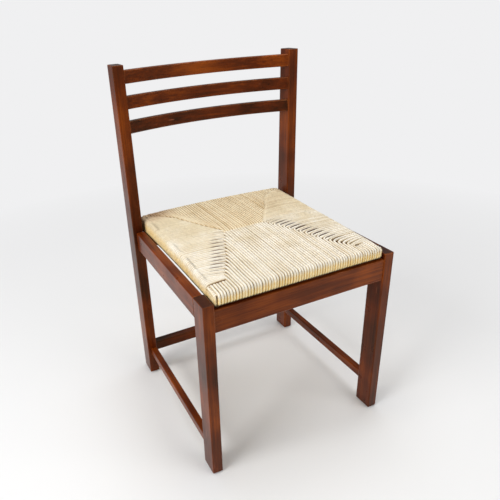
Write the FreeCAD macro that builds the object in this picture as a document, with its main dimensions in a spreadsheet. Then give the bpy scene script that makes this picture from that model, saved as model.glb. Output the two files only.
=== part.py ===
import FreeCAD, Part
import Sketcher
import math
import os
import re
from FreeCAD import Placement, Rotation, Vector

# Ladderback dining chair with a drop-in rush seat, in millimetres.
# The origin is on the floor under the middle of the chair. The front faces -Y.
# Left is -X and right is +X, as seen from the front.

doc = FreeCAD.newDocument("ladderback_chair")
sheet = doc.addObject("Spreadsheet::Sheet", "Sizes")

sizes = {
    # overall
    "chair_width": 468,
    "chair_depth": 440,
    "post_height": 818,
    "leg_height": 430,
    "leg_inset": 8,
    # legs and posts
    "leg_width": 24,
    "leg_depth": 46,
    "post_width": 25,
    "post_depth": 48,
    "post_top_depth": 42,
    "edge_round": 2.5,
    "end_round": 1.5,
    "foot_chamfer": 1.5,
    # seat rails
    "rail_thickness": 21,
    "side_rail_height": 46,
    "front_rail_height": 51,
    "back_rail_height": 38.5,
    "rail_drop": 14,
    "front_rail_setback": 3,
    "back_rail_setback": 14,
    # stretchers
    "stretcher_width": 16,
    "stretcher_height": 21,
    "stretcher_rise": 60,
    "stretcher_inset": 1,
    "back_stretcher_height": 27,
    "back_stretcher_rise": 60,
    # back slats
    "slat_height": 28.5,
    "slat_thickness": 12,
    "slat_bow": 32,
    "slat_straight": 15,
    "slat_setback": 4,
    "slat_pitch": 54,
    "top_slat_drop": 11,
    "slat_chamfer": 1.5,
    # mortise and tenon joints
    "tenon_thickness": 8,
    "tenon_shoulder": 4,
    "side_tenon_length": 16,
    "cross_tenon_length": 12,
    "slat_tenon_thickness": 7,
    "glue_gap": 0.1,
    "mortise_relief": 1,
    # drop-in seat
    "seat_front_gap": 3,
    "seat_back_gap": 7,
    "seat_front_setback": 2,
    "seat_back_setback": 3,
    "seat_rest_gap": 0.3,
    "seat_edge_height": 31,
    "seat_back_rise": 9.5,
    "seat_swell": 2.5,
    "seat_crown": 8,
    "seat_draw_in": 3,
    "seat_top_round": 9.5,
    "seat_bottom_round": 9,
    "seat_end_round": 8,
    "rush_thickness": 5,
    "rush_fit": 0.3,
    "bar_width": 36,
    "bar_thickness": 19,
    "bar_round": 3,
    "dowel_diameter": 8,
    "dowel_length": 36,
    "dowel_pitch": 18,
    # foot glides
    "glide_diameter": 18,
    "glide_height": 2,
    "nail_diameter": 2.4,
    "nail_length": 14,
}

for row, (name, value) in enumerate(sizes.items(), start=1):
    sheet.set(f"A{row}", name.replace("_", " "))
    sheet.set(f"B{row}", str(value))
    sheet.setAlias(f"B{row}", name)
doc.recompute()

# places that several pieces share, as expressions of the sizes
front = "-chair_depth / 2"
leg_back = "-chair_depth / 2 + leg_depth"
post_front = "chair_depth / 2 - post_depth"
post_back = "chair_depth / 2"
leg_outer = "chair_width / 2 - leg_inset"
leg_inner = "chair_width / 2 - leg_inset - leg_width"
post_outer = "chair_width / 2"
post_inner = "chair_width / 2 - post_width"
rail_inner = "chair_width / 2 - leg_inset - rail_thickness"
rail_top = "leg_height - rail_drop"


def bound(expression):
    # names of sizes become references to the cells
    def reference(word):
        return "Sizes." + word.group(0) if word.group(0) in sizes else word.group(0)

    return re.sub(r"[a-z_]+", reference, expression)


def size(name):
    return float(sheet.get(name))


def sided(side, inner, outer):
    # the x range of a piece on the left (side -1) or the right (side 1)
    return (inner, outer) if side > 0 else (f"-({outer})", f"-({inner})")


def mirrored(reach):
    # an x range that reaches as far to the left as to the right
    return (f"-({reach})", reach)


def grown(extent, gap):
    return (f"{extent[0]} - {gap}", f"{extent[1]} + {gap}")


def middle(extent):
    return f"(({extent[0]}) + ({extent[1]})) / 2"


def centred(extent, width):
    return (f"{middle(extent)} - {width} / 2", f"{middle(extent)} + {width} / 2")


def shouldered(extent):
    return (f"{extent[0]} + tenon_shoulder", f"{extent[1]} - tenon_shoulder")


def add_body(label):
    body = doc.addObject("PartDesign::Body", label)
    body.Label = label
    return body


def add_sketch(body, name, role, offset="0"):
    sketch = body.newObject("Sketcher::SketchObject", f"{body.Label}_{name}_sketch")
    plane = [item for item in body.Origin.OriginFeatures if item.Role == role][0]
    sketch.AttachmentSupport = [(plane, "")]
    sketch.MapMode = "FlatFace"
    sketch.setExpression("AttachmentOffset.Base.z", bound(offset))
    return sketch


def place_point(sketch, geometry, point, across, up):
    near = sketch.getPoint(geometry, point)
    for kind, value, expression in (("DistanceX", near.x, across), ("DistanceY", near.y, up)):
        index = sketch.addConstraint(Sketcher.Constraint(kind, -1, 1, geometry, point, value))
        sketch.setExpression(f"Constraints[{index}]", bound(expression))


def draw_outline(sketch, points):
    # straight lines through corners that are each placed by two expressions
    count = len(points)
    guess = [Vector(math.cos(2 * math.pi * step / count), math.sin(2 * math.pi * step / count), 0)
             for step in range(count)]
    for step in range(count):
        sketch.addGeometry(Part.LineSegment(guess[step], guess[(step + 1) % count]))
    for step in range(count):
        sketch.addConstraint(Sketcher.Constraint("Coincident", step, 2, (step + 1) % count, 1))
        place_point(sketch, step, 1, *points[step])


def extrude(body, sketch, name, kind, length):
    feature = body.newObject(f"PartDesign::{kind}", f"{body.Label}_{name}")
    feature.Profile = sketch
    feature.Reversed = kind == "Pocket"
    feature.setExpression("Length", bound(length))
    sketch.Visibility = False
    return feature


def block(body, name, kind, across, along, height):
    # a rectangular Pad or Pocket over the ranges in x, y and z
    sketch = add_sketch(body, name, "XY_Plane", height[0])
    corners = [(across[0], along[0]), (across[1], along[0]), (across[1], along[1]), (across[0], along[1])]
    draw_outline(sketch, corners)
    return extrude(body, sketch, name, kind, f"{height[1]} - ({height[0]})")


def edges_where(feature, wanted):
    return [f"Edge{index}" for index, edge in enumerate(feature.Shape.Edges, start=1) if wanted(edge)]


def runs_along(axis):
    # straight edges along an axis
    def wanted(edge):
        if not isinstance(edge.Curve, Part.Line):
            return False
        return abs(edge.Curve.Direction.dot(axis)) > 0.99

    return wanted


def lies_at(height):
    def wanted(edge):
        return abs(edge.BoundBox.ZMin - height) < 1e-4 and abs(edge.BoundBox.ZMax - height) < 1e-4

    return wanted


def dress(body, name, kind, base, wanted, width):
    # a Fillet or Chamfer on the edges of the base that are wanted
    doc.recompute()
    feature = body.newObject(f"PartDesign::{kind}", f"{body.Label}_{name}")
    feature.Base = (base, edges_where(base, wanted))
    feature.setExpression("Radius" if kind == "Fillet" else "Size", bound(width))
    return feature


def side_mortise(body, name, across, height, face, direction):
    # a mortise in a front or back face, for a piece that runs front to back
    across = grown(centred(across, "tenon_thickness"), "glue_gap")
    depth = f"{face} + {direction} * (side_tenon_length + mortise_relief)"
    along = (face, depth) if direction > 0 else (depth, face)
    block(body, name, "Pocket", across, along, grown(shouldered(height), "glue_gap"))


def cross_mortise(body, name, side, inner, along, height):
    # a mortise in the inner face, for a piece that runs left to right
    across = sided(side, inner, f"{inner} + cross_tenon_length + mortise_relief")
    block(body, name, "Pocket", across, grown(along, "glue_gap"), grown(shouldered(height), "glue_gap"))


side_rail_height = ("leg_height - side_rail_height", "leg_height")
front_rail_height = (f"{rail_top} - front_rail_height", rail_top)
back_rail_height = (f"{rail_top} - back_rail_height", rail_top)
stretcher_height = ("stretcher_rise", "stretcher_rise + stretcher_height")
back_stretcher_height = ("back_stretcher_rise", "back_stretcher_rise + back_stretcher_height")
rail_width = (rail_inner, leg_outer)
stretcher_width = (f"{leg_outer} - stretcher_inset - stretcher_width", f"{leg_outer} - stretcher_inset")
front_rail_depth = (f"{front} + front_rail_setback", f"{front} + front_rail_setback + rail_thickness")
back_rail_depth = (f"{post_front} + back_rail_setback", f"{post_front} + back_rail_setback + rail_thickness")
slat_front = f"{post_front} + slat_setback"
slat_crown = f"{slat_front} + slat_bow"
slat_tenon_depth = centred((slat_front, f"{slat_front} + slat_thickness"), "slat_tenon_thickness")
slat_names = ("top_slat", "middle_slat", "bottom_slat")


def slat_height(order):
    top = f"post_height - top_slat_drop - {order} * slat_pitch"
    return (f"{top} - slat_height", top)


def nail_hole(body, across, along):
    # a blind hole up into the foot for the nail of the glide
    sketch = add_sketch(body, "nail_hole", "XY_Plane", "glide_height")
    sketch.addGeometry(Part.Circle(Vector(0, 0, 0), Vector(0, 0, 1), 1.0))
    place_point(sketch, 0, 3, across, along)
    index = sketch.addConstraint(Sketcher.Constraint("Radius", 0, 1.0))
    sketch.setExpression(f"Constraints[{index}]", bound("nail_diameter / 2 + glue_gap"))
    extrude(body, sketch, "nail_hole", "Pocket", "nail_length + mortise_relief")


def make_front_leg(label, side):
    body = add_body(label)
    across = sided(side, leg_inner, leg_outer)
    along = (front, leg_back)
    blank = block(body, "blank", "Pad", across, along, ("glide_height", "leg_height"))
    rounded = dress(body, "long_edges", "Fillet", blank, runs_along(Vector(0, 0, 1)), "edge_round")
    topped = dress(body, "top_edges", "Fillet", rounded, lies_at(size("leg_height")), "end_round")
    dress(body, "foot_edges", "Chamfer", topped, lies_at(size("glide_height")), "foot_chamfer")
    side_mortise(body, "rail_mortise", sided(side, *rail_width), side_rail_height, leg_back, -1)
    side_mortise(body, "stretcher_mortise", sided(side, *stretcher_width), stretcher_height, leg_back, -1)
    front_tenon = centred(front_rail_depth, "tenon_thickness")
    cross_mortise(body, "front_rail_mortise", side, leg_inner, front_tenon, front_rail_height)
    nail_hole(body, middle(across), middle(along))


def make_back_post(label, side):
    body = add_body(label)
    across = sided(side, post_inner, post_outer)
    sketch = add_sketch(body, "blank", "YZ_Plane", across[0])
    # the back face leans forward above the seat
    profile = [(post_front, "glide_height"), (post_back, "glide_height"), (post_back, "leg_height"),
               (f"{post_front} + post_top_depth", "post_height"), (post_front, "post_height")]
    draw_outline(sketch, profile)
    blank = extrude(body, sketch, "blank", "Pad", "post_width")
    rounded = dress(body, "long_edges", "Fillet", blank, runs_along(Vector(0, 0, 1)), "edge_round")
    topped = dress(body, "top_edges", "Fillet", rounded, lies_at(size("post_height")), "end_round")
    dress(body, "foot_edges", "Chamfer", topped, lies_at(size("glide_height")), "foot_chamfer")
    side_mortise(body, "rail_mortise", sided(side, *rail_width), side_rail_height, post_front, 1)
    side_mortise(body, "stretcher_mortise", sided(side, *stretcher_width), stretcher_height, post_front, 1)
    back_tenon = centred(back_rail_depth, "tenon_thickness")
    cross_mortise(body, "back_rail_mortise", side, post_inner, back_tenon, back_rail_height)
    cross_mortise(body, "back_stretcher_mortise", side, post_inner, back_tenon, back_stretcher_height)
    for order, name in enumerate(slat_names):
        cross_mortise(body, f"{name}_mortise", side, post_inner, slat_tenon_depth, slat_height(order))
    nail_hole(body, middle(across), middle((post_front, post_back)))


def make_side_bar(label, across, height):
    # a rail or stretcher from front leg to back post, tenoned at both ends
    body = add_body(label)
    blank = block(body, "blank", "Pad", across, (leg_back, post_front), height)
    dress(body, "long_edges", "Fillet", blank, runs_along(Vector(0, 1, 0)), "edge_round")
    along = (f"{leg_back} - side_tenon_length", f"{post_front} + side_tenon_length")
    block(body, "tenons", "Pad", centred(across, "tenon_thickness"), along, shouldered(height))


def make_cross_bar(label, inner, depth, height):
    # a rail or stretcher from left to right, tenoned at both ends
    body = add_body(label)
    blank = block(body, "blank", "Pad", mirrored(inner), depth, height)
    dress(body, "long_edges", "Fillet", blank, runs_along(Vector(1, 0, 0)), "edge_round")
    block(body, "tenons", "Pad", mirrored(f"{inner} + cross_tenon_length"),
          centred(depth, "tenon_thickness"), shouldered(height))


def make_slat(label, order):
    # a slat bowed backwards on two arcs about one centre, with short straight ends and straight tenons
    # the curves are drawn near their place, and the constraints then hold them there
    body = add_body(label)
    height = slat_height(order)
    thickness = size("slat_thickness")
    half = size("chair_width") / 2 - size("post_width")
    face = size("chair_depth") / 2 - size("post_depth") + size("slat_setback")
    rise = face + size("slat_bow")
    spread = 2 * math.atan(size("slat_bow") / (half + size("slat_straight")))
    radius = (half - size("slat_straight") * math.cos(spread)) / math.sin(spread)
    centre = Vector(0, rise - radius, 0)
    sketch = add_sketch(body, "bow", "XY_Plane", height[0])
    for reach in (radius, radius + thickness):
        circle = Part.Circle(centre, Vector(0, 0, 1), reach)
        sketch.addGeometry(Part.ArcOfCircle(circle, math.pi / 2 - spread, math.pi / 2 + spread))
    for reach in (radius, radius + thickness):
        for side in (1, -1):
            near = centre + Vector(side * math.sin(spread) * reach, math.cos(spread) * reach, 0)
            run = Vector(half * side - near.x, (near.x * side - half) * math.tan(spread), 0)
            sketch.addGeometry(Part.LineSegment(near, near + run))
    for side in (1, -1):
        sketch.addGeometry(Part.LineSegment(Vector(side * half, face, 0), Vector(side * half, face + thickness, 0)))
    crowns = [sketch.addGeometry(Part.Point(Vector(0, place, 0)), True) for place in (rise, rise + thickness)]

    # arcs 0 and 1 are the front and back; lines 2 to 5 carry them on; lines 6 and 7 close the ends
    for arc, end, line in ((0, 1, 2), (0, 2, 3), (1, 1, 4), (1, 2, 5)):
        sketch.addConstraint(Sketcher.Constraint("Tangent", arc, end, line, 1))
    for first, close, last in ((2, 6, 4), (3, 7, 5)):
        sketch.addConstraint(Sketcher.Constraint("Coincident", first, 2, close, 1))
        sketch.addConstraint(Sketcher.Constraint("Coincident", last, 2, close, 2))
        sketch.addConstraint(Sketcher.Constraint("Vertical", close))
    sketch.addConstraint(Sketcher.Constraint("Coincident", 0, 3, 1, 3))
    sketch.addConstraint(Sketcher.Constraint("PointOnObject", 0, 3, -2))
    sketch.addConstraint(Sketcher.Constraint("Parallel", 2, 4))
    sketch.addConstraint(Sketcher.Constraint("Parallel", 3, 5))
    place_point(sketch, 2, 2, post_inner, slat_front)
    place_point(sketch, 3, 2, f"-({post_inner})", slat_front)
    for arc, (crown, place) in enumerate(zip(crowns, (slat_crown, f"{slat_crown} + slat_thickness"))):
        sketch.addConstraint(Sketcher.Constraint("PointOnObject", crown, 1, arc))
        sketch.addConstraint(Sketcher.Constraint("PointOnObject", crown, 1, -2))
        index = sketch.addConstraint(Sketcher.Constraint("DistanceY", -1, 1, crown, 1, rise))
        sketch.setExpression(f"Constraints[{index}]", bound(place))
    index = sketch.addConstraint(Sketcher.Constraint("Distance", 2, size("slat_straight")))
    sketch.setExpression(f"Constraints[{index}]", bound("slat_straight"))
    blank = extrude(body, sketch, "blank", "Pad", "slat_height")
    dress(body, "long_edges", "Chamfer", blank, lambda edge: edge.BoundBox.XLength > 1, "slat_chamfer")
    for side, name in ((-1, "left_tenon"), (1, "right_tenon")):
        across = sided(side, post_inner, f"{post_inner} + cross_tenon_length")
        block(body, name, "Pad", across, slat_tenon_depth, shouldered(height))


for side, hand in ((-1, "left"), (1, "right")):
    make_front_leg(f"front_leg_{hand}", side)
    make_back_post(f"back_post_{hand}", side)
    make_side_bar(f"side_rail_{hand}", sided(side, *rail_width), side_rail_height)
    make_side_bar(f"side_stretcher_{hand}", sided(side, *stretcher_width), stretcher_height)
make_cross_bar("front_rail", leg_inner, front_rail_depth, front_rail_height)
make_cross_bar("back_rail", post_inner, back_rail_depth, back_rail_height)
make_cross_bar("back_stretcher", post_inner, back_rail_depth, back_stretcher_height)
for order, name in enumerate(slat_names):
    make_slat(name, order)

# The drop-in seat lies on the front and back rails. Four bars dowelled at the corners carry the rush.
seat_front = f"{front} + seat_front_setback"
seat_back = f"{post_back} - seat_back_setback"
seat_bottom = f"{rail_top} + seat_rest_gap"
bar_reach = f"{leg_inner} - seat_front_gap - seat_draw_in - rush_thickness"
bar_inner = f"{bar_reach} - bar_width"
bar_height = (f"{seat_bottom} + rush_thickness", f"{seat_bottom} + rush_thickness + bar_thickness")
front_bar_depth = (f"{seat_front} + rush_thickness", f"{seat_front} + rush_thickness + bar_width")
back_bar_depth = (f"{seat_back} - rush_thickness - bar_width", f"{seat_back} - rush_thickness")
side_bar_depth = (front_bar_depth[1], back_bar_depth[0])


def dowel_places():
    # (x, y, z) of the middle of each dowel, two at each end of each side bar
    places = []
    for side in (-1, 1):
        bar_middle = middle(sided(side, bar_inner, bar_reach))
        for joint in side_bar_depth:
            for step in (-1, 1):
                places.append((f"{bar_middle} + {step} * dowel_pitch / 2", joint, middle(bar_height)))
    return places


def dowel_holes(body, name, places):
    # holes reach past both ends of the dowels, whose middle is on the joint
    sketch = add_sketch(body, name, "XZ_Plane", f"-({places[0][1]})")
    for step, (across, along, up) in enumerate(places):
        sketch.addGeometry(Part.Circle(Vector(9 * step, 0, 0), Vector(0, 0, 1), 1.0))
        place_point(sketch, step, 3, across, up)
        index = sketch.addConstraint(Sketcher.Constraint("Radius", step, 1.0))
        sketch.setExpression(f"Constraints[{index}]", bound("dowel_diameter / 2 + glue_gap"))
    holes = extrude(body, sketch, name, "Pocket", "dowel_length + 2 * mortise_relief")
    holes.SideType = "Symmetric"


def make_seat_bar(label, across, along, axis, places):
    body = add_body(label)
    blank = block(body, "blank", "Pad", across, along, bar_height)
    dress(body, "long_edges", "Fillet", blank, runs_along(axis), "bar_round")
    for order, joint in enumerate(sorted({place[1] for place in places})):
        dowel_holes(body, f"dowel_holes_{order + 1}", [place for place in places if place[1] == joint])


def cylinder(name, radius, length, place, turn=Rotation()):
    # a cylinder whose base centre and sizes are expressions
    solid = doc.addObject("Part::Cylinder", name)
    solid.setExpression("Radius", bound(radius))
    solid.setExpression("Height", bound(length))
    solid.Placement = Placement(Vector(), turn)
    for axis, expression in zip("xyz", place):
        solid.setExpression(f"Placement.Base.{axis}", bound(expression))
    return solid


def group(label, solids):
    compound = doc.addObject("Part::Compound", label)
    compound.Label = label
    compound.Links = solids
    return compound


def make_dowels():
    along_y = Rotation(Vector(1, 0, 0), -90)
    dowels = []
    for order, (across, along, up) in enumerate(dowel_places(), start=1):
        start = (across, f"{along} - dowel_length / 2", up)
        dowels.append(cylinder(f"dowel_{order}", "dowel_diameter / 2", "dowel_length", start, along_y))
    return group("seat_dowels", dowels)


def make_glides():
    # a thin round pad under each foot, with its nail up into the wood
    glides = []
    for side in (-1, 1):
        for across, along in ((sided(side, leg_inner, leg_outer), (front, leg_back)),
                              (sided(side, post_inner, post_outer), (post_front, post_back))):
            order = len(glides) + 1
            place = (middle(across), middle(along))
            pad = cylinder(f"glide_pad_{order}", "glide_diameter / 2", "glide_height", (*place, "0"))
            nail = cylinder(f"glide_nail_{order}", "nail_diameter / 2", "nail_length + glide_height / 2",
                            (*place, "glide_height / 2"))
            glide = doc.addObject("Part::Fuse", f"glide_{order}")
            glide.Base = pad
            glide.Tool = nail
            glides.append(glide)
    return group("foot_glides", glides)


def cushion_section(y, half, bottom, edge, crown, inset):
    # one closed section of the cushion across the chair: flat below, crowned above, round corners
    low = size("seat_bottom_round") - inset
    high = size("seat_top_round") - inset
    half -= inset
    bottom += inset
    edge -= inset
    crown -= inset
    bend = math.sqrt(0.5)

    def point(x, z):
        return Vector(x, y, z)

    right = [
        Part.LineSegment(point(-half + low, bottom), point(half - low, bottom)),
        Part.Arc(point(half - low, bottom), point(half - low + low * bend, bottom + low - low * bend),
                 point(half, bottom + low)),
        Part.LineSegment(point(half, bottom + low), point(half, edge - high)),
        Part.Arc(point(half, edge - high), point(half - high + high * bend, edge - high + high * bend),
                 point(half - high, edge)),
        Part.Arc(point(half - high, edge), point(0, crown), point(-half + high, edge)),
    ]
    left = [
        Part.Arc(point(-half + high, edge), point(-half + high - high * bend, edge - high + high * bend),
                 point(-half, edge - high)),
        Part.LineSegment(point(-half, edge - high), point(-half, bottom + low)),
        Part.Arc(point(-half, bottom + low), point(-half + low - low * bend, bottom + low - low * bend),
                 point(-half + low, bottom)),
    ]
    return Part.Wire([curve.toShape() for curve in right + left])


def box_between(across, along, height):
    corner = Vector(across[0], along[0], height[0])
    return Part.makeBox(across[1] - across[0], along[1] - along[0], height[1] - height[0], corner)


def make_rush_seat():
    # the woven cover with its stuffing: a crowned cushion, drawn in at the sides, round its four bars
    front_half = size("chair_width") / 2 - size("leg_inset") - size("leg_width") - size("seat_front_gap")
    back_half = size("chair_width") / 2 - size("post_width") - size("seat_back_gap")
    y_front = -size("chair_depth") / 2 + size("seat_front_setback")
    y_back = size("chair_depth") / 2 - size("seat_back_setback")
    bottom = size("leg_height") - size("rail_drop") + size("seat_rest_gap")
    end_round = size("seat_end_round")
    # the sections lie close together near the ends, where the cushion shrinks to round its edge
    inner_places = [step / 6 * (y_back - y_front) for step in range(1, 6)]
    end_places = [end_round * (1 - math.cos(math.radians(angle))) for angle in (0, 22.5, 45, 67.5, 90)]
    places = end_places + inner_places + [y_back - y_front - place for place in reversed(end_places)]
    sections = []
    for place in places:
        share = place / (y_back - y_front)
        swell = math.sin(math.pi * share)
        half = front_half + (back_half - front_half) * share - size("seat_draw_in") * swell
        edge = bottom + size("seat_edge_height") + size("seat_back_rise") * share + size("seat_swell") * swell
        crown = edge + size("seat_crown") * (1 + swell) / 2
        left_over = max(end_round - place, end_round - (y_back - y_front - place), 0)
        inset = end_round - math.sqrt(end_round ** 2 - left_over ** 2)
        sections.append(cushion_section(y_front + place, half, bottom, edge, crown, inset))
    cushion = Part.makeLoft(sections, True, True)

    # room for the bars inside, a little larger than the bars
    rush = size("rush_thickness")
    fit = size("rush_fit")
    reach = front_half - size("seat_draw_in") - rush
    width = size("bar_width")
    low = bottom + rush - fit
    high = bottom + rush + size("bar_thickness") + fit
    outer = box_between((-reach - fit, reach + fit), (y_front + rush - fit, y_back - rush + fit), (low, high))
    inner = box_between((-reach + width + fit, reach - width - fit),
                        (y_front + rush + width + fit, y_back - rush - width - fit), (low, high))
    seat = doc.addObject("Part::Feature", "rush_seat")
    seat.Label = "rush_seat"
    seat.Shape = cushion.cut(outer.cut(inner))
    seat.Placement = Placement()
    return seat


all_dowels = dowel_places()
for side, hand, own in ((-1, "left", all_dowels[:4]), (1, "right", all_dowels[4:])):
    make_seat_bar(f"seat_bar_{hand}", sided(side, bar_inner, bar_reach), side_bar_depth, Vector(0, 1, 0), own)
for hand, depth, joint in zip(("front", "back"), (front_bar_depth, back_bar_depth), side_bar_depth):
    own = [place for place in all_dowels if place[1] == joint]
    make_seat_bar(f"seat_bar_{hand}", mirrored(bar_reach), depth, Vector(1, 0, 0), own)
make_dowels()
make_rush_seat()
make_glides()
doc.recompute()

node_names = [f"{piece}_{hand}" for piece in ("front_leg", "back_post", "side_rail", "side_stretcher")
              for hand in ("left", "right")]
node_names += ["front_rail", "back_rail", "back_stretcher", *slat_names, "foot_glides"]
node_names += ["rush_seat", "seat_dowels"]
node_names += [f"seat_bar_{hand}" for hand in ("front", "back", "left", "right")]

for item in doc.Objects:
    if "Invalid" in item.State or "Error" in item.State:
        raise RuntimeError(f"{item.Label} failed: {item.State}")
    # a pocket that cuts nothing would show no error
    if item.TypeId == "PartDesign::Pocket" and item.Shape.Volume > item.BaseFeature.Shape.Volume - 1e-3:
        raise RuntimeError(f"{item.Label} cuts nothing")

os.makedirs("parts", exist_ok=True)
for name in node_names:
    node = doc.getObjectsByLabel(name)[0]
    if node.Shape.isNull() or not node.Shape.isValid():
        raise RuntimeError(f"{name} has no valid shape")
    node.Shape.exportStep(f"parts/{name}.step")
    box = node.Shape.BoundBox
    print(f"{name}: {len(node.Shape.Solids)} solid(s), {node.Shape.Volume / 1000:.1f} cm3, "
          f"{box.XLength:.1f} x {box.YLength:.1f} x {box.ZLength:.1f} mm")
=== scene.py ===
import math
import random

import bpy
from mathutils import Matrix, Vector
from mathutils.noise import noise as fieldNoise


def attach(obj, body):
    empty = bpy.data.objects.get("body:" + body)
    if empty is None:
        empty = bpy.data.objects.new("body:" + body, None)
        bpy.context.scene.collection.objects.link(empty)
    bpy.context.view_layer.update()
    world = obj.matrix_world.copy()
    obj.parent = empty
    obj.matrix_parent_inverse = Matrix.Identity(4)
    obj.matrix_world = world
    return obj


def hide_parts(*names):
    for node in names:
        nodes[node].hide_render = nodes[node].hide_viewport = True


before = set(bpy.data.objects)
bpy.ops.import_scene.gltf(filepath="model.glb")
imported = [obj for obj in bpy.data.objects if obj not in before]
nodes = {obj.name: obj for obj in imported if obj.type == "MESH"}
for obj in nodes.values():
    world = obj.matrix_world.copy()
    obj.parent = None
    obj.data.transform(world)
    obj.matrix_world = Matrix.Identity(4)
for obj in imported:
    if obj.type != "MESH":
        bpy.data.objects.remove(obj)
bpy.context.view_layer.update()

mm = 0.001


# helpers for shader trees

def startMaterial(name):
    material = bpy.data.materials.new(name)
    material.use_nodes = True
    tree = material.node_tree
    shader = tree.nodes["Principled BSDF"]
    return material, tree, shader


def addNode(tree, kind, **settings):
    node = tree.nodes.new(kind)
    for name, value in settings.items():
        setattr(node, name, value)
    return node


def connect(tree, source, target):
    tree.links.new(source, target)


def colour(red, green, blue):  # screen values 0-255 to the linear ones that shaders use
    linear = []
    for value in (red, green, blue):
        share = value / 255
        linear.append(share / 12.92 if value <= 10 else ((share + 0.055) / 1.055) ** 2.4)
    return (*linear, 1)


def calc(tree, operation, first, second=None, third=None, clamp=False):
    node = addNode(tree, "ShaderNodeMath", operation=operation, use_clamp=clamp)
    for slot, value in enumerate((first, second, third)):
        if value is None:
            continue
        if isinstance(value, (int, float)):
            node.inputs[slot].default_value = value
        else:
            connect(tree, value, node.inputs[slot])
    return node.outputs[0]


def blendColour(tree, factor, first, second, kind="MIX"):
    node = addNode(tree, "ShaderNodeMix", data_type="RGBA", blend_type=kind)
    for slot, value in ((0, factor), (6, first), (7, second)):
        if isinstance(value, (int, float, tuple)):
            node.inputs[slot].default_value = value
        else:
            connect(tree, value, node.inputs[slot])
    return node.outputs[2]


def stretch(tree, source, scale, shift=(0, 0, 0)):
    node = addNode(tree, "ShaderNodeMapping")
    node.inputs["Scale"].default_value = scale
    node.inputs["Location"].default_value = shift
    connect(tree, source, node.inputs["Vector"])
    return node.outputs[0]


def noise(tree, source, scale, detail=3.0, roughness=0.5, distortion=0.0):
    node = addNode(tree, "ShaderNodeTexNoise")
    node.inputs["Scale"].default_value = scale
    node.inputs["Detail"].default_value = detail
    node.inputs["Roughness"].default_value = roughness
    node.inputs["Distortion"].default_value = distortion
    connect(tree, source, node.inputs["Vector"])
    return node.outputs["Fac"]


def ramp(tree, source, *stops):  # stops are (place, colour or grey)
    node = addNode(tree, "ShaderNodeValToRGB")
    elements = node.color_ramp.elements
    while len(elements) < len(stops):
        elements.new(0.5)
    for element, (place, shade) in zip(elements, stops):
        element.position = place
        element.color = shade if isinstance(shade, tuple) else (shade, shade, shade, 1)
    connect(tree, source, node.inputs["Fac"])
    return node.outputs["Color"]


def bumps(tree, shader, *layers):  # layers are (height, strength, distance in metres), coarse first
    last = None
    for height, strength, distance in layers:
        node = addNode(tree, "ShaderNodeBump")
        node.inputs["Strength"].default_value = strength
        node.inputs["Distance"].default_value = distance
        connect(tree, height, node.inputs["Height"])
        if last is not None:
            connect(tree, last, node.inputs["Normal"])
        last = node.outputs["Normal"]
    connect(tree, last, shader.inputs["Normal"])


# stained and varnished wood

woodLook = {
    "dark": colour(40, 12, 4),
    "middle": colour(88, 32, 6),
    "light": colour(138, 63, 10),
    # lighter brown for the edges: partly wear, partly painted highlight
    "edgeWearAndHighlight": colour(196, 112, 56),
    "scratch": colour(176, 104, 78),
    "endGrain": colour(42, 17, 12),
    "roughness": (0.22, 0.38),
    "shine": 0.30,
    # the warm tint on the reflections is painted reflection colour of a yellow floor
    "shineTint": (1.0, 0.62, 0.34, 1),
    "edgeReach": 0.0030,
}


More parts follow.
